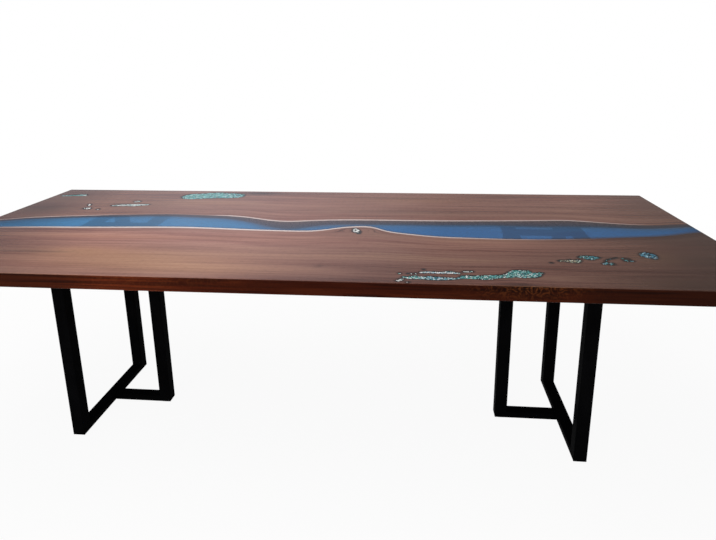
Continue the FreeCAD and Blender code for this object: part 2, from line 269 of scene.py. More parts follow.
def sliced_copy(node, name, step, fine_nodes=()):
    """A CAD node's shape, cut by even planes along X and Y, and more finely round other nodes,
    so that what its corners hold varies smoothly over it. Flat faces stay flat, and rounded
    ones are shaded smooth."""
    work = merged(node)
    slice_evenly(work, work.verts[:] + work.edges[:] + work.faces[:], *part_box(node), step)
    for fill in fine_nodes:
        low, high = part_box(fill)
        low, high = low - Vector((fine_margin,) * 3), high + Vector((fine_margin,) * 3)
        faces = [f for f in work.faces if f.normal.z > flat_normal
                 and low.x < f.calc_center_median().x < high.x
                 and low.y < f.calc_center_median().y < high.y]
        corners = {v for f in faces for v in f.verts}
        edges = {e for f in faces for e in f.edges}
        slice_evenly(work, list(corners) + list(edges) + faces, low, high, fine_step)
    mesh = made_mesh(work, name)
    mesh.set_sharp_from_angle(angle=crease_angle)
    rounded = [max(map(abs, face.normal)) < square_normal for face in mesh.polygons]
    mesh.polygons.foreach_set("use_smooth", rounded)
    return mesh


def corners_of(mesh):
    """A mesh's vertices as three arrays."""
    places = np.zeros(len(mesh.vertices) * 3)
    mesh.vertices.foreach_get("co", places)
    return places.reshape(-1, 3).T


def keep(mesh, name, values):
    """Stores one number, or three, at each vertex under a name that a material reads."""
    kind, field = ("FLOAT", "value") if values.ndim == 1 else ("FLOAT_VECTOR", "vector")
    attribute = mesh.attributes.new(name, kind, "POINT")
    attribute.data.foreach_set(field, values.astype(np.float32).ravel())


def patches(x, y, rows):
    """Soft oval patches added up: each row is a centre, two radii and the amount at the centre,
    which falls off from there as a bell curve."""
    total = np.zeros_like(x)
    for centre_x, centre_y, radius_x, radius_y, amount in rows:
        total += amount * np.exp(-((x - centre_x) / radius_x) ** 2 - ((y - centre_y) / radius_y) ** 2)
    return total


# How light each slab's top is along its length: places from the left end to the right one. Besides the
# wood's own tone it holds painted sheen and light, lighter towards the left and darker towards the
# right end
slab_tone_and_sheen = {
    "front_slab": ((-1.32, 0.50), (-1.15, 0.60), (-1.00, 0.78), (-0.80, 1.00), (-0.25, 0.97),
                   (0.05, 0.80), (0.25, 0.68), (0.45, 0.66), (0.62, 0.64), (0.93, 0.48),
                   (1.15, 0.33), (1.32, 0.26)),
    "rear_slab": ((-1.32, 0.46), (-1.20, 0.54), (-1.00, 0.84), (-0.80, 0.80), (-0.60, 0.88),
                  (-0.20, 1.04), (0.20, 0.96), (1.00, 0.92), (1.20, 0.72), (1.32, 0.60)),
}

# How light the sawn long edges are, in the same terms
sawn_tone = ((-1.32, 0.45), (-0.81, 0.44), (-0.68, 0.65), (-0.56, 1.35), (-0.42, 1.15),
             (-0.27, 0.85), (-0.10, 0.60), (0.30, 0.60), (0.43, 0.50), (0.60, 0.44), (0.70, 0.55),
             (0.83, 0.27), (1.32, 0.22))

# How strong the cream sapwood line is along each live edge
sapwood_strength = {
    "front_slab": ((-1.32, 0.15), (-1.10, 0.75), (-0.95, 1.0), (-0.20, 1.0), (0.10, 0.90),
                   (0.50, 0.65), (0.80, 0.25), (0.95, 0.0)),
    "rear_slab": ((-1.32, 0.3), (-1.10, 0.55), (-0.95, 0.5), (-0.75, 0.1), (-0.50, 0.15),
                  (-0.38, 0.8), (0.40, 0.75), (0.95, 0.65), (1.10, 0.4), (1.20, 0.0)),
}

# Which fills lie in each slab
slab_fills = {
    "front_slab": ("long_crack_fill", "right_knot_fills", "edge_knot_fill"),
    "rear_slab": ("rear_pocket_fill", "rear_streak_fill", "rear_corner_fills"),
}

# Knots: centre, radius along the grain and across it, and how far they push the grain aside
slab_knots = {
    "front_slab": ((0.130, -0.065, 0.110, 0.075, 0.030), (0.600, -0.520, 0.090, 0.060, 0.024),
                   (0.050, -0.415, 0.022, 0.012, 0.006), (0.860, -0.290, 0.070, 0.040, 0.016),
                   (1.047, -0.275, 0.060, 0.045, 0.018)),
    "rear_slab": ((-1.033, 0.190, 0.050, 0.035, 0.014), (-0.900, 0.255, 0.120, 0.050, 0.018),
                  (-0.580, 0.440, 0.220, 0.080, 0.030)),
}

# Golden wood, and what is lighter (above 0) or darker than its surroundings: centre, two radii
# and an amount. The row at the front slab's very edge is the burl in its sawn face.
golden_patches = {
    "front_slab": ((-0.520, -0.390, 0.330, 0.085, 1.00), (-0.300, -0.470, 0.260, 0.045, 0.60),
                   (-0.760, -0.330, 0.120, 0.035, 0.60), (-0.650, -0.175, 0.500, 0.020, 0.25),
                   (1.047, -0.275, 0.075, 0.055, 0.40), (0.640, -half_width, 0.130, 0.0015, 1.00)),
    "rear_slab": ((-0.580, 0.305, 0.200, 0.040, 0.35), (0.330, 0.395, 0.250, 0.050, 0.35)),
}
shade_patches = {
    "front_slab": ((-0.650, -0.175, 0.480, 0.075, 0.48), (0.100, -0.170, 0.380, 0.060, 0.26),
                   (0.850, -0.185, 0.480, 0.060, 0.38), (-0.650, -0.300, 0.160, 0.045, 0.18),
                   (-0.900, -0.341, 0.150, 0.006, -0.40), (0.050, -0.415, 0.016, 0.009, -0.40),
                   (-1.050, -0.300, 0.160, 0.070, -0.18), (0.100, -0.530, 0.280, 0.045, -0.28),
                   (-0.860, -0.525, 0.150, 0.050, -0.22), (1.050, -0.500, 0.220, 0.070, -0.45),
                   (1.200, -0.320, 0.140, 0.080, -0.25), (0.250, -0.430, 0.250, 0.060, -0.14),
                   (0.520, -0.250, 0.250, 0.050, 0.18)),
    "rear_slab": ((-0.375, 0.490, 0.090, 0.026, -0.75), (-0.200, 0.492, 0.180, 0.014, -0.30),
                  (0.350, 0.200, 0.450, 0.045, -0.26), (-1.230, 0.180, 0.130, 0.060, -0.40),
                  (1.050, 0.440, 0.250, 0.080, 0.38)),
}


def fill_rims(nodes):
    """The outlines of fills at the top's surface, as an array of line ends."""
    rims = []
    for node in nodes:
        work = merged(node)
        for edge in work.edges:
            steepness = sorted(face.normal.z for face in edge.link_faces)
            if steepness[-1] > flat_normal and abs(steepness[0]) < fill_wall_most_z:
                rims.append([v.co.xy[:] for v in edge.verts])
        work.free()
    return np.array(rims)


def distance_to(rims, x, y):
    """The distance from each place to the nearest of many short lines: each place is dropped
    square onto each line, and no further than the line's ends."""
    nearest = np.full(len(x), np.inf)
    for start, end in rims:
        run = end - start
        share = ((x - start[0]) * run[0] + (y - start[1]) * run[1]) / max(run @ run, merge_gap ** 2)
        share = np.clip(share, 0, 1)
        nearest = np.minimum(nearest, np.hypot(x - start[0] - share * run[0],
                                               y - start[1] - share * run[1]))
    return nearest


def grain_round_knots(x, y, across, knots):
    """The grain's coordinate across the slab, parted round knots, and how near a knot each place
    is. A knot pushes the grain aside by a step that turns over at its middle and falls off with
    the distance from it, and the nearness falls off as a bell curve."""
    near_knot = np.zeros_like(x)
    for centre_x, centre_y, radius_x, radius_y, push in knots:
        off_x, off_y = (x - centre_x) / radius_x, (y - centre_y) / radius_y
        fall = np.exp(-off_x ** 2 - np.abs(off_y))
        across = across - push * np.tanh(knot_turn * off_y) * fall
        near_knot += np.exp(-knot_core * (off_x ** 2 + off_y ** 2))
    return across, near_knot


def build_slab(node, side, top, bottom, materials):
    """A slab with, at each vertex: the grain's own coordinates, which follow the live edge, less
    and less away from it, and part round the knots; the distances to the live edge and to the
    nearest stone fill; how light the wood is, with painted sheen on the top, and how strong its
    sapwood; and its knots and golden patches, which fade out towards the underside."""
    name = node.replace("slab", "walnut_slab")
    mesh = sliced_copy(node, name, slice_step, slab_fills[node])
    x, y, z = corners_of(mesh)
    edge_y = edge_at(top, bottom, x, z)
    gap = np.maximum((y - edge_y) * side, 0)
    across = y - (np.interp(x, *top) - edge_y.mean()) * np.exp(-gap / flow_fade)
    across, near_knot = grain_round_knots(x, y, across, slab_knots[node])
    keep(mesh, "grain", np.stack([x, across, z], 1))
    keep(mesh, "edge_gap", gap)
    keep(mesh, "fill_gap", distance_to(fill_rims(slab_fills[node]), x, y))
    shade = np.clip(1 + patches(x, y, shade_patches[node]), least_shade, most_shade)
    sanded = z > top_z - edge_round / 2
    # On the top the tone holds painted sheen as well as the wood's own tone: lighter towards the left,
    # darker towards the right end
    tone = np.where(sanded, at_places(x, slab_tone_and_sheen[node]) * shade, at_places(x, sawn_tone))
    keep(mesh, "tone", tone)
    keep(mesh, "sapwood", at_places(x, sapwood_strength[node]))
    height = np.clip((z - underside_z) / top_thickness, 0, 1)
    keep(mesh, "golden", np.clip(patches(x, y, golden_patches[node]), 0, 1) * height)
    keep(mesh, "knot", np.clip(near_knot, 0, 1))
    piece = finish_piece(name, mesh, materials[0])
    mesh.materials.append(materials[1])
    sawn = [int(face.normal.z < sanded_normal) for face in mesh.polygons]
    mesh.polygons.foreach_set("material_index", sawn)
    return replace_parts(piece, node)


# How far the band of thin resin reaches in from each live edge, along the table, and how brown
# rather than navy it is at the front. At the rear the grey-brown band is wider than the thin resin
# over the sloping wood: the rest is a painted view of the dim rear wall, seen slantwise through
# the resin.
rear_band = ((-1.32, 0.030), (-1.00, 0.030), (-0.60, 0.040), (-0.40, 0.046), (-0.27, 0.070),
             (-0.13, 0.118), (0.02, 0.078), (0.30, 0.062), (0.60, 0.064), (0.80, 0.092),
             (0.92, 0.090), (1.05, 0.062), (1.32, 0.048))
front_band = ((-1.32, 0.010), (0.20, 0.014), (0.60, 0.012), (0.90, 0.022), (1.32, 0.026))
front_brown = ((0.70, 0.0), (1.00, 1.0))


def build_river(material):
    """The river, with at each vertex how far it is through the bands of thin resin along the two
    live edges, the rear one widened by a painted view of the dim rear wall, and whether it is on
    the underside or a wall that the wood hides. Its lower rims reach a little way into the slabs."""
    mesh = sliced_copy("river_resin", "cast_river", river_slice_step)
    x, y, z = corners_of(mesh)
    rear, front = np.interp(x, *river_rear_top), np.interp(x, *river_front_top)
    # How far into the rear band: thin resin over the sloping wood, then a painted view of the dim rear
    # wall
    keep(mesh, "rear_depth", (rear - y) / at_places(x, rear_band))
    keep(mesh, "front_depth", (y - front) / at_places(x, front_band))
    keep(mesh, "brown", at_places(x, front_brown))
    between_ends = np.abs(x) < half_length - merge_gap
    keep(mesh, "below", np.clip((top_z - z) / edge_round, 0, 1) * between_ends)
    low_rim = (z < underside_z + merge_gap) & (np.abs(x) < half_length - 2 * edge_round)
    y = y + np.where(low_rim, np.sign(y - (rear + front) / 2) * river_overlap, 0)
    mesh.vertices.foreach_set("co", np.stack([x, y, z], 1).ravel())
    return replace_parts(finish_piece("cast_river", mesh, material), "river_resin")


# Stone fills


def top_triangles(node):
    """The triangles of a node's flat top, as an array of three XY corners each."""
    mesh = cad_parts[node].data
    mesh.calc_loop_triangles()
    corners = np.zeros(len(mesh.loop_triangles) * 3, dtype=int)
    mesh.loop_triangles.foreach_get("vertices", corners)
    places = np.stack(corners_of(mesh), 1)[corners].reshape(-1, 3, 3)
    return places[(places[:, :, 2] > top_z - top_tolerance).all(1)][:, :, :2]


def inside(points, triangles):
    """Which points lie in any of the triangles: on the same side of all three sides."""
    a, b, c = (triangles[None, :, i] for i in range(3))
    p = points[:, None]

    def turn(start, end):
        return ((end[..., 0] - start[..., 0]) * (p[..., 1] - start[..., 1])
                - (end[..., 1] - start[..., 1]) * (p[..., 0] - start[..., 0]))

    turns = np.stack([turn(a, b), turn(b, c), turn(c, a)])
    return ((turns >= 0).all(0) | (turns <= 0).all(0)).any(1)


def build_pool(node, material):
    """The resin that holds a fill's chips: the fill's own shape with its surface a little low."""
    name = node + "_pool"
    mesh = made_mesh(merged(node), name)
    x, y, z = corners_of(mesh)
    z = np.minimum(z, top_z - pool_drop)
    mesh.vertices.foreach_set("co", np.stack([x, y, z], 1).ravel())
    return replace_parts(finish_piece(name, mesh, material), node)


# Each fill's chips: their spacing, the share of them kept, their mean paleness and its spread,
# their hue at places along the table (-1 cream, 0 green, 1 blue), and patches of paler ones
fill_looks = {
    "long_crack_fill": {
        "spacing": 0.0040, "cover": 0.95, "pale": 0.36, "spread": 0.32,
        "hues": ((0.28, 0.2), (0.33, 0.1), (0.38, 0.7), (0.44, 0.5), (0.47, 0.1), (0.70, 0.1)),
        "paler": ((0.290, -0.513, 0.030, 0.016, 0.90), (0.310, -0.463, 0.045, 0.007, 0.80),
                  (0.370, -0.494, 0.070, 0.014, 0.20), (0.400, -0.449, 0.070, 0.010, 0.70),
                  (0.482, -0.436, 0.030, 0.008, 0.60))},
    "right_knot_fills": {
        "spacing": 0.0044, "cover": 0.64, "pale": 0.30, "spread": 0.26,
        "hues": ((0.72, -0.8), (0.81, -0.8), (0.84, 0.3), (0.90, 0.5), (0.95, 0.1), (1.00, 0.8)),
        "paler": ((0.800, -0.330, 0.040, 0.020, 0.20), (1.047, -0.268, 0.040, 0.030, -0.10))},
    "edge_knot_fill": {
        "spacing": 0.0088, "cover": 0.80, "pale": 1.00, "spread": 0.10, "hues": ((0.1, 0.2),)},
    "rear_pocket_fill": {
        "spacing": 0.0080, "cover": 0.97, "pale": 0.50, "spread": 0.10,
        "hues": ((-0.7, 0.2), (-0.5, 0.3))},
    "rear_streak_fill": {
        "spacing": 0.0070, "cover": 0.92, "pale": 0.86, "spread": 0.14, "hues": ((-0.9, 0.0),)},
    "rear_corner_fills": {
        "spacing": 0.0065, "cover": 0.92, "pale": 0.92, "spread": 0.10, "hues": ((-1.0, 0.2),),
        "paler": ((-1.230, 0.415, 0.060, 0.030, -0.50),)},
}


def lattice(low, high, spacing):
    """A lattice of even triangles between two corners: the rows are as far apart as a triangle is
    high, and every other row is half a step over."""
    rows = np.arange(low[1], high[1], spacing * math.sqrt(0.75))
    columns = np.arange(low[0], high[0], spacing)
    grid_x, grid_y = np.meshgrid(columns, rows)
    grid_x = grid_x + (np.arange(len(rows)) % 2)[:, None] * spacing / 2
    return np.stack([grid_x.ravel(), grid_y.ravel()], 1)


def chip_faces(count):
    """The faces of many chips, each with a flat top, walls from each ring to the next and a
    foot, by the numbers of their corners."""
    around = range(chip_sides)
    rings = range(0, chip_corners, chip_sides)
    sides = [(ring + i, ring + (i + 1) % chip_sides) for ring in rings[:-1] for i in around]
    walls = [[i, i + chip_sides, j + chip_sides, j] for i, j in sides]
    foot = [rings[-1] + i for i in reversed(around)]
    pattern = [list(around)] + walls + [foot]
    return [[corner + chip_corners * chip for corner in face] for chip in range(count)
            for face in pattern]


def build_chips(node, material, seed, spacing, cover, pale, spread, hues, paler=()):
    """Crushed stone ground flush with the top. Centres are a lattice, shaken, and kept where the
    whole chip is inside the fill. Each chip is an uneven polygon, drawn by its corners' angles
    and reaches, in three rings: its flat top, a bevel below that, and its foot in the resin."""
    draw = np.random.default_rng(seed)
    triangles = top_triangles(node)
    centres = lattice(triangles.min((0, 1)), triangles.max((0, 1)), spacing)
    centres += draw.uniform(-shake_share, shake_share, centres.shape) * spacing
    count = len(centres)
    turns = np.arange(chip_sides) + draw.uniform(-turn_share, turn_share, (count, chip_sides))
    angles = turns * 2 * math.pi / chip_sides
    size = draw.uniform(*reach_shares, (count, 1))
    reach = size * draw.uniform(*uneven_shares, angles.shape) * spacing
    outline = np.stack([np.cos(angles), np.sin(angles)], 2) * reach[..., None]
    outline[..., 0] *= draw.uniform(*stretch_shares, count)[:, None]
    around = (centres[:, None] + outline).reshape(-1, 2)
    whole = inside(around, triangles).reshape(-1, chip_sides).all(1)
    kept = whole & (draw.random(count) < cover)
    centres, outline = centres[kept], outline[kept]
    count = len(centres)
    drop = draw.uniform(0, low_share, (count, 1)) * pool_drop
    rings = []
    for share, depth in chip_rings:
        ring = np.empty((count, chip_sides, 3))
        ring[..., :2] = centres[:, None] + outline * share
        ring[..., 2] = top_z - depth - drop
        rings.append(ring)
    name = node + "_chips"
    mesh = bpy.data.meshes.new(name)
    mesh.from_pydata(np.stack(rings, 1).reshape(-1, 3).tolist(), [], chip_faces(count))
    paleness = draw.normal(pale, spread, count) + patches(*centres.T, paler)
    keep(mesh, "paleness", np.repeat(np.clip(paleness, 0, 1), chip_corners))
    hue = at_places(centres[:, 0], hues) + draw.normal(0, hue_spread, count)
    keep(mesh, "hue", np.repeat(np.clip(hue, -1, 1), chip_corners))
    return finish_piece(name, mesh, material)


# Weld beads


def bead(path, outward, up):
    """A fillet weld carried round a closed path: its section is a quarter circle whose middle is
    drawn in, and it swells and shrinks along the path as a wave, like a row of coins. path holds
    the corner that the bead fills, outward its direction along the plate and up the one along
    the tube."""
    length = np.linalg.norm(np.roll(path, -1, 0) - path, axis=1).cumsum()
    ripple = 1 + swell_share * np.cos(2 * math.pi * length / bead_ripple)
    turns = np.linspace(0, math.pi / 2, bead_points)
    bulge = np.stack([np.cos(turns), np.sin(turns)], 1) * (1 - dip_share * np.sin(2 * turns))[:, None]
    offsets = outward[:, None] * bulge[None, :, :1] + up[None, None] * bulge[None, :, 1:]
    rim_points = path[:, None] + offsets * (bead_leg * ripple)[:, None, None]
    return np.concatenate([path[:, None], rim_points], 1)


def closed_tube(name, rings, material):
    """Rings of points joined into a surface that closes both ways."""
    count, sides = rings.shape[:2]
    i, j = np.meshgrid(np.arange(count), np.arange(sides), indexing="ij")
    next_i, next_j = (i + 1) % count, (j + 1) % sides
    faces = np.stack([i * sides + j, next_i * sides + j, next_i * sides + next_j,
                      i * sides + next_j], -1).reshape(-1, 4)
    mesh = bpy.data.meshes.new(name)
    mesh.from_pydata(rings.reshape(-1, 3).tolist(), [], faces.tolist())
    work = bmesh.new()
    work.from_mesh(mesh)
    bmesh.ops.recalc_face_normals(work, faces=work.faces)
    work.to_mesh(mesh)
    work.free()
    mesh.polygons.foreach_set("use_smooth", [True] * len(mesh.polygons))
    return finish_piece(name, mesh, material)


def weld_path(half, radius, spacing):
    """A bead's path round a square tube, as evenly spaced points with the outward direction at
    each: four times a straight side and the quarter circle after it, each time turned on by a
    right angle. The two sides that face along X lie on the tube's faces. The two that face along
    Y lie one corner radius inside them, and the quarter circles after these stand as far out."""
    points, normals = [], []
    for quarter, (reach, run) in enumerate(((half, half - radius), (half - radius, half)) * 2):
        turn = quarter * math.pi / 2
        out = np.array([math.cos(turn), math.sin(turn)])
        along = np.array([-out[1], out[0]])
        side = np.arange(-run, run, spacing)[:, None]
        points.append(out * reach + along * side)
        normals.append(np.repeat(out[None], len(side), 0))
        angles = turn + np.arange(0, radius * math.pi / 2, spacing) / radius
        corner = np.stack([np.cos(angles), np.sin(angles)], 1)
        points.append(out * (reach - radius) + along * run + corner * radius)
        normals.append(corner)
    return np.concatenate(points), np.concatenate(normals)


def build_weld(node, name, material):
    """The weld round an upright's top, where it meets the flat bar."""
    low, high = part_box(node)
    half = (high[1] - low[1]) / 2
    loop, outward = weld_path(half, tube_corner, bead_ripple / ripple_points)
    centre = np.array([(low[0] + high[0]) / 2, (low[1] + high[1]) / 2])
    path = np.column_stack([loop + centre, np.full(len(loop), high[2])])
    normals = np.column_stack([outward, np.zeros(len(loop))])
    return closed_tube(name, bead(path, normals, np.array([0.0, 0.0, -1.0])), material)


# Materials

# A pattern's scale is in repeats for each metre: 1000 repeats every millimetre. A scale of three
# numbers is along the grain or the table, across it, and up.


def walnut_figure(tree):
    """What walnut shows on any face, read from the grain's own coordinates: bands of colour
    90 mm across, growth rings from 14 mm down to 1 mm apart, fibres 2.4 mm apart and finer, and
    pores drawn 1 mm wide, since real ones of 0.2 mm would not show."""
    grain = add(tree, "Attribute", attribute_name="grain").outputs["Vector"]
    found = {}
    for name, scale, detail, bend in (("bands", (0.9, 11.0, 11.0), 3.0, 0.7),
                                      ("rings", (1.6, 70.0, 70.0), 4.0, 0.9),
                                      ("fibres", (9.0, 420.0, 420.0), 3.0, 0.2),
                                      ("pores", (45.0, 1000.0, 1000.0), 1.0, 0.0)):
        stretched = add(tree, "Mapping", {"Vector": grain, "Scale": scale})
        found[name] = add(tree, "TexNoise", {"Vector": stretched, "Scale": 1.0, "Detail": detail,
                                             "Roughness": 0.6, "Distortion": bend}).outputs["Fac"]
    figure = add(tree, "Math", {0: found["bands"], 1: 0.55, 2: -0.05}, operation="MULTIPLY_ADD")
    figure = add(tree, "Math", {0: found["rings"], 1: 0.35, 2: figure}, operation="MULTIPLY_ADD")
    figure = add(tree, "Math", {0: found["fibres"], 1: 0.20, 2: figure}, operation="MULTIPLY_ADD")
    return figure, found


def lacquered_walnut():
    """Black walnut, sanded flat and lacquered: warm brown heartwood with darker growth rings and
    fine pores, nearly black bark at the fills, and a cream sapwood line along the live edge, all
    under an even clear gloss."""
    material, tree = new_material("lacquered_walnut")
    figure, found = walnut_figure(tree)
    gap, fill_gap, tone, golden, knot, sap_share = (
        add(tree, "Attribute", attribute_name=name).outputs["Fac"]
        for name in ("edge_gap", "fill_gap", "tone", "golden", "knot", "sapwood"))
    heartwood = add(tree, "ValToRGB", {"Fac": figure}, stops=(
        (0.28, "66402F"), (0.42, "815447"), (0.54, "966A5A"), (0.66, "A57A64")))
    golden_share = add(tree, "Math", {0: golden, 1: 0.5}, operation="MULTIPLY")
    heartwood = add(tree, "Mix", {0: golden_share, 6: heartwood, 7: linear("BC8C62")}, data_type="RGBA")

    # Late wood: each ring's dark side, stronger round a knot
    ring_share = add(tree, "MapRange", {"Value": found["rings"], "From Min": 0.50, "From Max": 0.36})
    near_knot = add(tree, "Math", {0: knot, 1: 0.6, 2: 0.14}, operation="MULTIPLY_ADD")
    ring_share = add(tree, "Math", {0: ring_share, 1: near_knot}, operation="MULTIPLY")
    heartwood = add(tree, "Mix", {0: ring_share, 6: heartwood, 7: linear("3E2118")}, data_type="RGBA")
    pore_share = add(tree, "MapRange", {"Value": found["pores"], "From Min": 0.44, "From Max": 0.32,
                                        "To Max": 0.35})
    heartwood = add(tree, "Mix", {0: pore_share, 6: heartwood, 7: linear("341C13")}, data_type="RGBA")
    # The tone scales the colour: the wood's own lightness and, on the top, painted sheen that lightens
    # the left and darkens the right end
    level = add(tree, "CombineColor", {0: tone, 1: tone, 2: tone})
    heartwood = add(tree, "Mix", {0: 1.0, 6: heartwood, 7: level}, data_type="RGBA",
                    blend_type="MULTIPLY")

    # The sapwood line wanders with the grain, and narrows where its share is low
    wander = add(tree, "Math", {0: found["bands"], 1: 0.012, 2: 0.002}, operation="MULTIPLY_ADD")
    wander = add(tree, "Math", {0: sap_share, 1: -0.008, 2: wander}, operation="MULTIPLY_ADD")
    edge = add(tree, "Math", {0: gap, 1: wander}, operation="ADD")
    sap = add(tree, "MapRange", {"Value": edge, "From Min": sapwood_width,
                                 "From Max": sapwood_width - sapwood_blur, "To Max": 0.95})
    sap = add(tree, "Math", {0: sap, 1: sap_share}, operation="MULTIPLY")
    cream = add(tree, "Mix", {0: found["fibres"], 6: linear("D2BCB2"), 7: linear("F4E8E2")},
                data_type="RGBA")
    wood = add(tree, "Mix", {0: sap, 6: heartwood, 7: cream}, data_type="RGBA")

    # Bark and dark stain round a fill, ragged where fibres broke away
    ragged = add(tree, "Math", {0: found["fibres"], 1: 0.016, 2: -0.008}, operation="MULTIPLY_ADD")
    rim_gap = add(tree, "Math", {0: fill_gap, 1: ragged}, operation="ADD")
    bark = add(tree, "MapRange", {"Value": rim_gap, "From Min": bark_width, "From Max": bark_core,
                                  "To Max": 0.85})
    wood = add(tree, "Mix", {0: bark, 6: wood, 7: linear("241512")}, data_type="RGBA")

    shine = add(tree, "MapRange", {"Value": found["fibres"], "To Min": 0.14, "To Max": 0.20})
    bump = add(tree, "Bump", {"Height": found["fibres"], "Strength": 0.04, "Distance": 0.0003})
    surface(tree, {"Base Color": wood, "Roughness": shine, "Normal": bump, "IOR": 1.5})
    return material


def oiled_walnut():
    """The slabs' sawn edges and undersides, wiped with dark oil: deep red brown, with long
    darker and redder streaks, burl where a golden patch reaches the edge, and a low sheen."""
    material, tree = new_material("oiled_walnut_edge")
    figure, found = walnut_figure(tree)
    tone, golden = (add(tree, "Attribute", attribute_name=name).outputs["Fac"]
                    for name in ("tone", "golden"))
    wood = add(tree, "ValToRGB", {"Fac": figure}, stops=(
        (0.32, "360F05"), (0.46, "541F0D"), (0.56, "682C14"), (0.68, "7C3D1E")))
    ring_share = add(tree, "MapRange", {"Value": found["rings"], "From Min": 0.50, "From Max": 0.38,
                                        "To Max": 0.5})
    wood = add(tree, "Mix", {0: ring_share, 6: wood, 7: linear("240B04")}, data_type="RGBA")

    # Burl: dark and golden curls about 20 mm across
    place = add(tree, "TexCoord").outputs["Object"]
    curls = add(tree, "TexNoise", {"Vector": place, "Scale": 52.0, "Detail": 3.0,
                                   "Distortion": 2.5}).outputs["Fac"]
    burl = add(tree, "ValToRGB", {"Fac": curls}, stops=(
        (0.41, "160603"), (0.47, "3C1A0D"), (0.53, "643317"), (0.60, "98562C")))
    wood = add(tree, "Mix", {0: golden, 6: wood, 7: burl}, data_type="RGBA")
    level = add(tree, "CombineColor", {0: tone, 1: tone, 2: tone})
    wood = add(tree, "Mix", {0: 1.0, 6: wood, 7: level}, data_type="RGBA", blend_type="MULTIPLY")
    bump = add(tree, "Bump", {"Height": found["fibres"], "Strength": 0.10, "Distance": 0.0003})
    surface(tree, {"Base Color": wood, "Roughness": 0.42, "Normal": bump, "IOR": 1.45,
                   "Specular IOR Level": 0.05})
    return material


def cast_blue_resin():
    """Deep-pour epoxy with blue pigment, cast and polished: a clear glossy skin over cloudy
    blue, which is palest near the left end. It is grey brown where it lies thin over the sloping
    wood, and further in at the rear, where a painted view of the dim rear wall seen through it
    is laid on. The leg bars show faintly through it, and over them the blue is painted greyer,
    a painted shade of the bars. Its clouds are 400 mm long and 110 mm across.
    It lets more light in from below and at the walls, which the wood hides."""
    material, tree = new_material("cast_blue_epoxy")
    place = add(tree, "TexCoord").outputs["Object"]
    rear, front, below, brown = (
        add(tree, "Attribute", attribute_name=name).outputs["Fac"]
        for name in ("rear_depth", "front_depth", "below", "brown"))
    along = add(tree, "SeparateXYZ", {0: place})
    along = add(tree, "MapRange", {"Value": along, "From Min": -half_length, "From Max": half_length})
    stretched = add(tree, "Mapping", {"Vector": place, "Scale": (2.5, 9.0, 9.0)})
    cloud = add(tree, "TexNoise", {"Vector": stretched, "Scale": 1.0, "Detail": 3.0}).outputs["Fac"]
    # Over the leg bars, at about 0.20 and 0.77 along, the blue is greyer and purpler: painted shade of
    # the bars, laid over their real show-through
    blue = add(tree, "ValToRGB", {"Fac": along}, stops=(
        (0.0, "1A4C6E"), (0.14, "4487B8"), (0.20, "4F82AE"), (0.33, "3A80B0"), (0.60, "2868A0"),
        (0.77, "3A669A"), (1.0, "285C92")))
    pale = add(tree, "MapRange", {"Value": cloud, "From Min": 0.45, "From Max": 0.7, "To Max": 0.22})
    blue = add(tree, "Mix", {0: pale, 6: blue, 7: linear("4C93C4")}, data_type="RGBA")

    # Thin resin over the rear slope, widened by a painted view of the dim rear wall seen through the
    # resin, and the narrow lip along the front edge
    thin_and_wall_view = add(tree, "MapRange", {"Value": rear, "From Max": 1.5})
    band = add(tree, "ValToRGB", {"Fac": thin_and_wall_view}, stops=(
        (0.0, "6E5C5A"), (0.2, "5C535C"), (0.45, "4A5164"), (0.65, "34648C"), (1.0, "2A74AC")))
    full = add(tree, "MapRange", {"Value": rear, "From Min": 0.8, "From Max": 1.5})
    colour = add(tree, "Mix", {0: full, 6: band, 7: blue}, data_type="RGBA")
    lip = add(tree, "MapRange", {"Value": front, "From Max": 1.0, "To Min": 0.85, "To Max": 0.0})
    lip_colour = add(tree, "Mix", {0: brown, 6: linear("1B2848"), 7: linear("4A3A34")},
                     data_type="RGBA")
    colour = add(tree, "Mix", {0: lip, 6: colour, 7: lip_colour}, data_type="RGBA")
    clear = add(tree, "MapRange", {"Value": below, "To Min": 0.45, "To Max": 1.0})
    surface(tree, {"Base Color": colour, "Transmission Weight": clear, "Roughness": 0.05, "IOR": 1.55})
    return material


def pool_resin():
    """The dark tinted epoxy between the chips: glossy, and nearly black where it is deep, with
    clouds 6 mm across."""
    material, tree = new_material("dark_fill_epoxy")
    place = add(tree, "TexCoord").outputs["Object"]
    cloud = add(tree, "TexNoise", {"Vector": place, "Scale": 160.0, "Detail": 3.0}).outputs["Fac"]
    colour = add(tree, "ValToRGB", {"Fac": cloud}, stops=(
        (0.3, "161617"), (0.55, "232A2B"), (0.75, "2C4A4A")))
    surface(tree, {"Base Color": colour, "Roughness": 0.12, "IOR": 1.55})
    return material


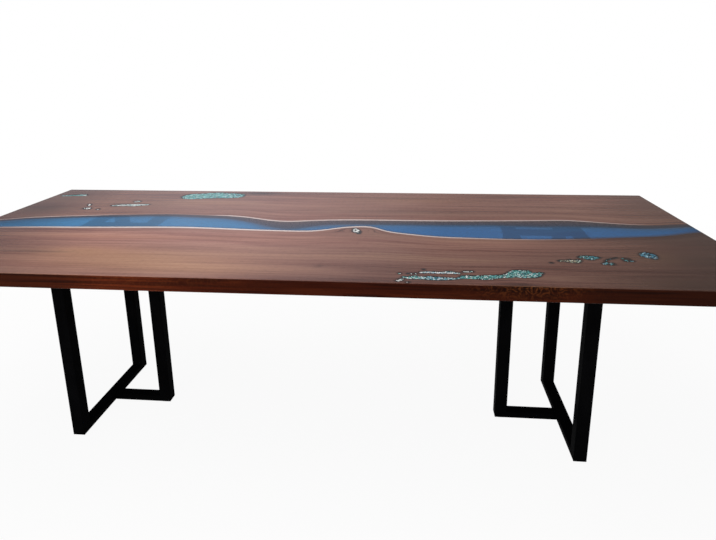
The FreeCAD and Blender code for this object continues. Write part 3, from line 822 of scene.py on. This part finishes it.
def crushed_turquoise():
    """Crushed turquoise, ground flush and polished: green-blue stone, some chips blue,
    some cream and some bleached nearly white, mottled every 2 mm, with thin brown veins about
    4 mm apart."""
    material, tree = new_material("crushed_turquoise")
    place = add(tree, "TexCoord").outputs["Object"]
    paleness, hue = (add(tree, "Attribute", attribute_name=name).outputs["Fac"]
                     for name in ("paleness", "hue"))
    mottle = add(tree, "TexNoise", {"Vector": place, "Scale": 500.0, "Detail": 3.0}).outputs["Fac"]
    mix = add(tree, "Math", {0: mottle, 1: 0.25, 2: paleness}, operation="MULTIPLY_ADD")
    green = add(tree, "ValToRGB", {"Fac": mix}, stops=(
        (0.10, "0D4A4A"), (0.35, "2A8A82"), (0.62, "6FC0B4"), (0.88, "CFE6DF"), (1.0, "F6F7F2")))
    blue = add(tree, "ValToRGB", {"Fac": mix}, stops=(
        (0.10, "12344A"), (0.35, "2F7296"), (0.62, "74A9C6"), (0.88, "D2DFEA"), (1.0, "F6F6F6")))
    cream = add(tree, "ValToRGB", {"Fac": mix}, stops=(
        (0.10, "4A3E30"), (0.35, "8C7A60"), (0.62, "C4B292"), (0.88, "E6DCC8"), (1.0, "F8F4EC")))
    colour = add(tree, "Mix", {0: hue, 6: green, 7: blue}, data_type="RGBA")
    cream_share = add(tree, "MapRange", {"Value": hue, "From Max": -1.0})
    colour = add(tree, "Mix", {0: cream_share, 6: colour, 7: cream}, data_type="RGBA")
    veins = add(tree, "TexVoronoi", {"Vector": place, "Scale": 260.0}, feature="DISTANCE_TO_EDGE")
    vein = add(tree, "MapRange", {"Value": veins, "From Min": 0.05, "From Max": 0.0, "To Max": 0.5})
    colour = add(tree, "Mix", {0: vein, 6: colour, 7: linear("4A3E30")}, data_type="RGBA")
    shine = add(tree, "MapRange", {"Value": mottle, "To Min": 0.12, "To Max": 0.3})
    surface(tree, {"Base Color": colour, "Roughness": shine, "IOR": 1.6})
    return material


def black_powder_coat():
    """Mild steel tube, powder coated black: a faintly pebbled skin, with grains 1.1 mm across,
    that mirrors almost nothing."""
    material, tree = new_material("black_powder_coat")
    place = add(tree, "TexCoord").outputs["Object"]
    pebble = add(tree, "TexNoise", {"Vector": place, "Scale": 900.0, "Detail": 2.0}).outputs["Fac"]
    cloud = add(tree, "TexNoise", {"Vector": place, "Scale": 14.0, "Detail": 3.0}).outputs["Fac"]
    colour = add(tree, "ValToRGB", {"Fac": cloud}, stops=((0.35, "0A0A0B"), (0.7, "0F0F10")))
    bump = add(tree, "Bump", {"Height": pebble, "Strength": 0.15, "Distance": 0.0002})
    shine = add(tree, "MapRange", {"Value": cloud, "To Min": 0.40, "To Max": 0.50})
    surface(tree, {"Base Color": colour, "Roughness": shine, "Normal": bump, "IOR": 1.5,
                   "Specular IOR Level": 0.001})
    return material


def plain_finish(name, dark, light, scale, rough, metallic=0.0):
    """A small hidden part's finish: two near tones in a fine mottle of the given scale."""
    material, tree = new_material(name)
    place = add(tree, "TexCoord").outputs["Object"]
    mottle = add(tree, "TexNoise", {"Vector": place, "Scale": scale, "Detail": 3.0}).outputs["Fac"]
    colour = add(tree, "ValToRGB", {"Fac": mottle}, stops=((0.3, dark), (0.7, light)))
    shine = add(tree, "MapRange", {"Value": mottle, "To Min": rough[0], "To Max": rough[1]})
    bump = add(tree, "Bump", {"Height": mottle, "Strength": 0.1, "Distance": 0.0002})
    surface(tree, {"Base Color": colour, "Roughness": shine, "Normal": bump, "Metallic": metallic})
    return material


# The table

walnut = lacquered_walnut(), oiled_walnut()
build_slab("front_slab", -1, river_front_top, river_front_bottom, walnut)
build_slab("rear_slab", 1, river_rear_top, river_rear_bottom, walnut)
build_river(cast_blue_resin())

pool = pool_resin()
turquoise = crushed_turquoise()
for seed, (node, look) in enumerate(fill_looks.items(), start=1):
    build_pool(node, pool)
    build_chips(node, turquoise, seed, **look)

# The legs' tubes and bars are powder coated, and their small parts have finishes of their own
steel = black_powder_coat()
zinc = plain_finish("zinc_plated_steel", dark="8A8D90", light="A7AAAC", scale=300.0,
                    rough=(0.30, 0.45), metallic=1.0)
brass = plain_finish("turned_brass", dark="A8843F", light="C9A65C", scale=400.0,
                     rough=(0.25, 0.40), metallic=1.0)
nylon = plain_finish("moulded_nylon", dark="17171A", light="222226", scale=700.0,
                     rough=(0.50, 0.65))
finishes = {"leg_bolts": zinc, "leg_washers": zinc, "leg_inserts": brass, "foot_glides": nylon}
for node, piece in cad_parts.items():
    side, _, part = node.partition("_")
    if side in ("left", "right") and part:
        piece.data.materials.clear()
        piece.data.materials.append(finishes.get(part, steel))

for side in ("left", "right"):
    for post in ("front", "rear", "inner"):
        build_weld(f"{side}_{post}_upright", f"{side}_{post}_weld", steel)

# Studio


def pale_floor():
    """A matt white floor. It turns to plain white away from the table, and near the table it
    keeps the table's soft shadow."""
    material, tree = new_material("matt_white_floor")
    place = add(tree, "TexCoord").outputs["Object"]
    paint = add(tree, "BsdfDiffuse", {"Color": linear("F2F1EE")})
    distance = add(tree, "VectorMath", {0: place}, operation="LENGTH").outputs["Value"]
    far = add(tree, "MapRange", {"Value": distance, "From Min": 1.5, "From Max": 4.0, "To Min": 0.94})
    path = add(tree, "LightPath").outputs
    seen = add(tree, "Math", {0: path["Is Camera Ray"], 1: path["Is Glossy Ray"]}, operation="MAXIMUM")
    seen = add(tree, "Math", {0: seen, 1: path["Is Transmission Ray"]}, operation="MAXIMUM")
    white_share = add(tree, "Math", {0: seen, 1: far}, operation="MULTIPLY")
    white = add(tree, "Emission", {"Color": (1, 1, 1, 1), "Strength": 1.0})
    both = add(tree, "MixShader", {0: white_share, 1: paint, 2: white})
    add(tree, "OutputMaterial", {"Surface": both})
    return material


floor_reach = 40.0
floor_corners = [(-floor_reach, -floor_reach, 0), (floor_reach, -floor_reach, 0),
                 (floor_reach, floor_reach, 0), (-floor_reach, floor_reach, 0)]
floor_mesh = bpy.data.meshes.new("floor")
floor_mesh.from_pydata(floor_corners, [], [(0, 1, 2, 3)])
floor = bpy.data.objects.new("floor", floor_mesh)
bpy.context.scene.collection.objects.link(floor)
floor_mesh.materials.append(pale_floor())

# The studio's walls, which light and mirrors meet: white low down all round, and above that
# grey, lightest a little to the left. The camera sees them plain white.
world = bpy.data.worlds.new("studio")
bpy.context.scene.world = world
world.use_nodes = True
sky = world.node_tree
sky.nodes.clear()
heading = add(sky, "SeparateXYZ", {0: add(sky, "TexCoord").outputs["Generated"]}).outputs
height = add(sky, "MapRange", {"Value": heading["Z"], "From Min": 0.10, "From Max": 0.19})
unseen = add(sky, "Math", {0: 1.0, 1: add(sky, "LightPath")}, operation="SUBTRACT")
height = add(sky, "Math", {0: height, 1: unseen}, operation="MULTIPLY")
sideways = add(sky, "MapRange", {"Value": heading["X"], "From Min": -1.0, "From Max": 1.0})
wall = add(sky, "ValToRGB", {"Fac": sideways}, stops=(
    (0.20, "6A6D78"), (0.25, "727A88"), (0.28, "8E95A2"), (0.31, "ABABB7"), (0.36, "ABABB7"),
    (0.42, "9E9EA8"), (0.48, "8F8F96"), (0.53, "747478"), (0.60, "6C6C6F"), (0.70, "656462")))
strength = add(sky, "Mix", {0: height, 6: (1, 1, 1, 1), 7: wall}, data_type="RGBA")
add(sky, "OutputWorld", {"Surface": add(sky, "Background", {"Color": strength, "Strength": 1.0})})


def softbox(name, place, target, width, depth, power):
    """A rectangular lamp that points at a place, behind cloth: no gloss mirrors its outline."""
    lamp = bpy.data.lights.new(name, "AREA")
    lamp.shape = "RECTANGLE"
    lamp.size, lamp.size_y = width, depth
    lamp.energy = power
    holder = bpy.data.objects.new(name, lamp)
    holder.location = place
    holder.rotation_euler = (Vector(target) - Vector(place)).to_track_quat("-Z", "Y").to_euler()
    holder.visible_glossy = False
    bpy.context.scene.collection.objects.link(holder)


softbox("overhead_softbox", place=(-0.6, -0.2, 2.9), target=(-0.2, 0.0, 0.76), width=3.6,
        depth=2.6, power=75.0)
softbox("front_softbox", place=(-1.5, -4.0, 2.2), target=(0.0, 0.0, 0.5), width=2.0, depth=1.6,
        power=25.0)

# Camera: solved from the top's edges, the lower front edge and the legs in the photograph
camera_place = (0.3152, -1.9364, 1.3434)
camera_pitch = math.radians(14.157)
camera_yaw = math.radians(-5.544)
camera_roll = math.radians(-0.673)
focal_pixels = 552.6
photo_width = 716
photo_height = 540
optical_centre_y = 201.8
sensor_width = 36.0

ahead = Vector((math.sin(camera_yaw) * math.cos(camera_pitch),
                math.cos(camera_yaw) * math.cos(camera_pitch), -math.sin(camera_pitch)))
level = Vector((math.cos(camera_yaw), -math.sin(camera_yaw), 0))
above = level.cross(ahead)
across = math.cos(camera_roll) * level + math.sin(camera_roll) * above
upward = math.cos(camera_roll) * above - math.sin(camera_roll) * level
camera = bpy.data.cameras.new("camera")
camera.sensor_width = sensor_width
camera.lens = focal_pixels * sensor_width / photo_width
camera.shift_y = (optical_centre_y - photo_height / 2) / photo_width
viewer = bpy.data.objects.new("camera", camera)
viewer.location = camera_place
viewer.rotation_euler = Matrix((across, upward, -ahead)).transposed().to_euler()
bpy.context.scene.collection.objects.link(viewer)
bpy.context.scene.camera = viewer
bpy.context.scene.view_settings.view_transform = "Standard"
